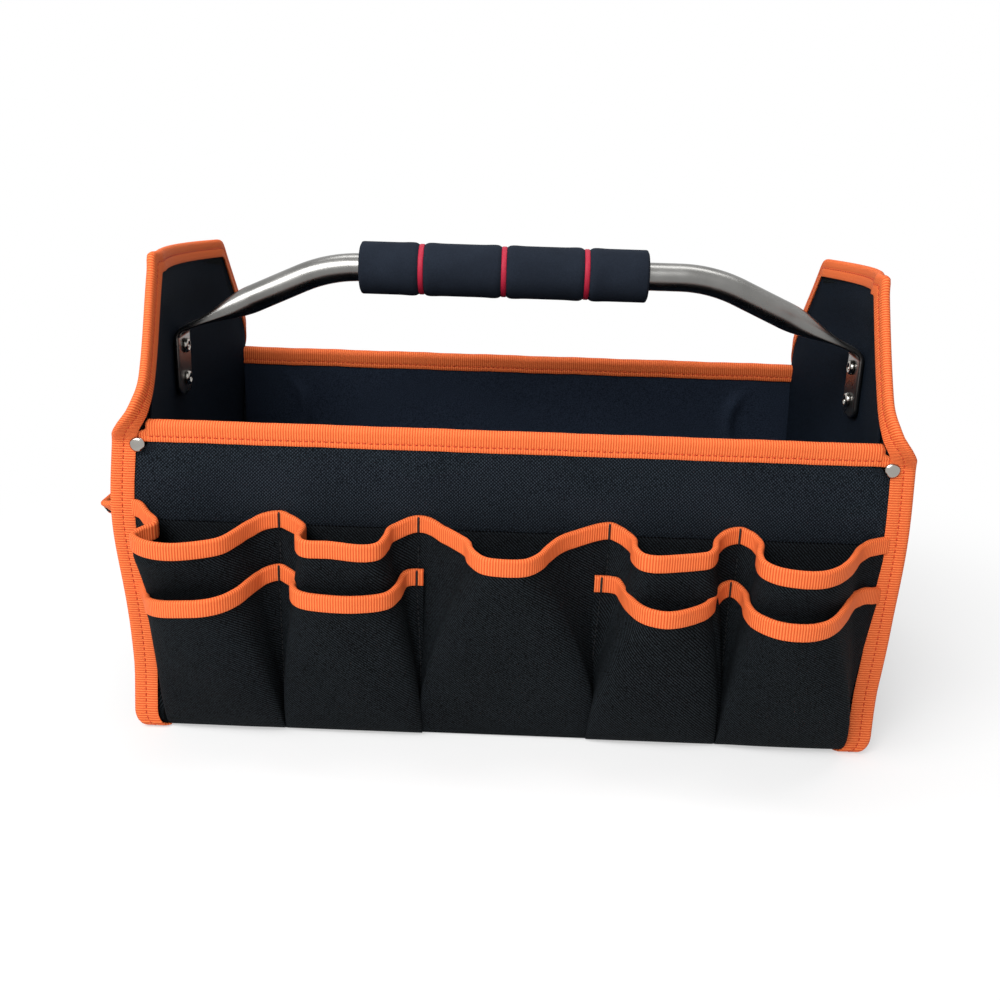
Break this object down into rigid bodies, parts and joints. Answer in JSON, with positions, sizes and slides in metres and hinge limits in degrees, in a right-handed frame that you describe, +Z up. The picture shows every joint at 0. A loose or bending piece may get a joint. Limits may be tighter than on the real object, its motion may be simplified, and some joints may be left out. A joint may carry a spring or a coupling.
{
  "type": "open-top tool bag",
  "caption": "Open-top cloth tool bag with tall ends, rows of standing pockets, taped edges and a bent steel tube handle with a sliding foam grip.",
  "frame": {"origin": "on the floor under the middle of the bag, so that the base panel's underside is z = 0", "axes": "+X along the bag towards the right-hand end as seen from the front, +Y from the front wall to the back wall, +Z up; the front wall with two rows of pockets faces -Y"},
  "size_m": [0.4518, 0.2964, 0.2577],
  "materials": {
    "twill_cloth": "matte",
    "grid_cloth": "matte",
    "lining_cloth": "matte",
    "orange_tape": "satin",
    "stiffener": "matte",
    "polished_steel": "polished",
    "rivet_nickel": "polished",
    "grip_foam": "matte",
    "ring_crimson": "matte"
  },
  "bodies": {
    "bag": {"front_panel": "twill_cloth", "front_band": "grid_cloth", "front_board": "stiffener", "front_lining": "lining_cloth", "front_top_tape": "orange_tape", "back_panel": "twill_cloth", "back_band": "grid_cloth", "back_board": "stiffener", "back_lining": "lining_cloth", "back_top_tape": "orange_tape", "base_panel": "twill_cloth", "base_board": "stiffener", "base_lining": "lining_cloth", "left_end_panel": "twill_cloth", "left_end_board": "stiffener", "left_end_lining": "lining_cloth", "left_end_tape": "orange_tape", "right_end_panel": "twill_cloth", "right_end_board": "stiffener", "right_end_lining": "lining_cloth", "right_end_tape": "orange_tape", "front_upper_pocket_1": "twill_cloth", "front_upper_pocket_2": "twill_cloth", "front_upper_pocket_3": "twill_cloth", "front_upper_pocket_4": "twill_cloth", "front_upper_pocket_5": "twill_cloth", "front_upper_pocket_tape": "orange_tape", "back_upper_pocket_1": "twill_cloth", "back_upper_pocket_2": "twill_cloth", "back_upper_pocket_3": "twill_cloth", "back_upper_pocket_4": "twill_cloth", "back_upper_pocket_5": "twill_cloth", "back_upper_pocket_tape": "orange_tape", "front_lower_pocket_left_1": "twill_cloth", "front_lower_pocket_left_2": "twill_cloth", "front_lower_tape_left": "orange_tape", "front_lower_pocket_right_1": "twill_cloth", "front_lower_pocket_right_2": "twill_cloth", "front_lower_tape_right": "orange_tape", "left_end_pocket": "twill_cloth", "left_end_pocket_tape": "orange_tape", "right_end_pocket": "twill_cloth", "right_end_pocket_tape": "orange_tape", "front_rivet_left": "rivet_nickel", "front_rivet_right": "rivet_nickel", "back_rivet_left": "rivet_nickel", "back_rivet_right": "rivet_nickel", "handle_tube": "polished_steel", "handle_rivet_left_upper": "rivet_nickel", "handle_rivet_left_lower": "rivet_nickel", "handle_rivet_right_upper": "rivet_nickel", "handle_rivet_right_lower": "rivet_nickel"},
    "grip": {"grip_foam": "grip_foam", "grip_ring_1": "ring_crimson", "grip_ring_2": "ring_crimson", "grip_ring_3": "ring_crimson"}
  },
  "joints": [
    {"name": "grip_slide", "type": "slide", "parent": "bag", "child": "grip", "axis": [1, 0, 0], "range_m": [0, 0.0185]}
  ]
}
